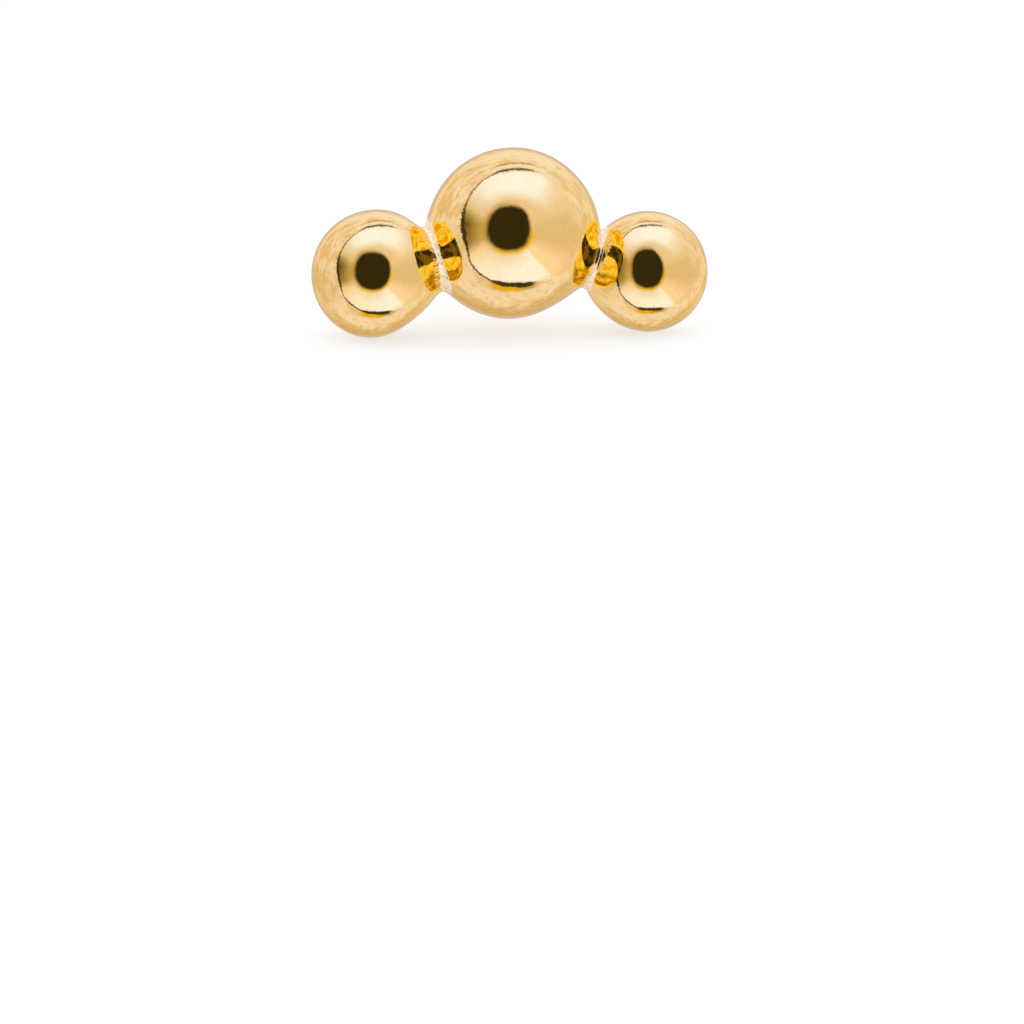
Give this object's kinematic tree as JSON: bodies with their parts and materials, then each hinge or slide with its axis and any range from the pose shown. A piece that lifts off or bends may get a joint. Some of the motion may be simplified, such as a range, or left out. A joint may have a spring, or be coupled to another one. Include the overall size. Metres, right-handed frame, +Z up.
{
  "type": "ball stud earring",
  "caption": "Stud earring: a large polished gold ball soldered between smaller ones in a shallow arch, on a straight ear post.",
  "frame": {"origin": "under the middle of the earring's box, on the surface that it lies on", "axes": "+Y runs backwards along the ear post, seen from above, +X to the right seen from the front, and +Z up as it lies at rest"},
  "size_m": [0.0094, 0.0132, 0.0043],
  "materials": {
    "polished_gold": "high polish yellow gold, with a rougher solder line at each joint",
    "post_gold": "drawn and tumbled yellow gold wire"
  },
  "bodies": {
    "root": {"ball_cluster": "polished_gold", "ear_post": "post_gold"}
  },
  "joints": []
}
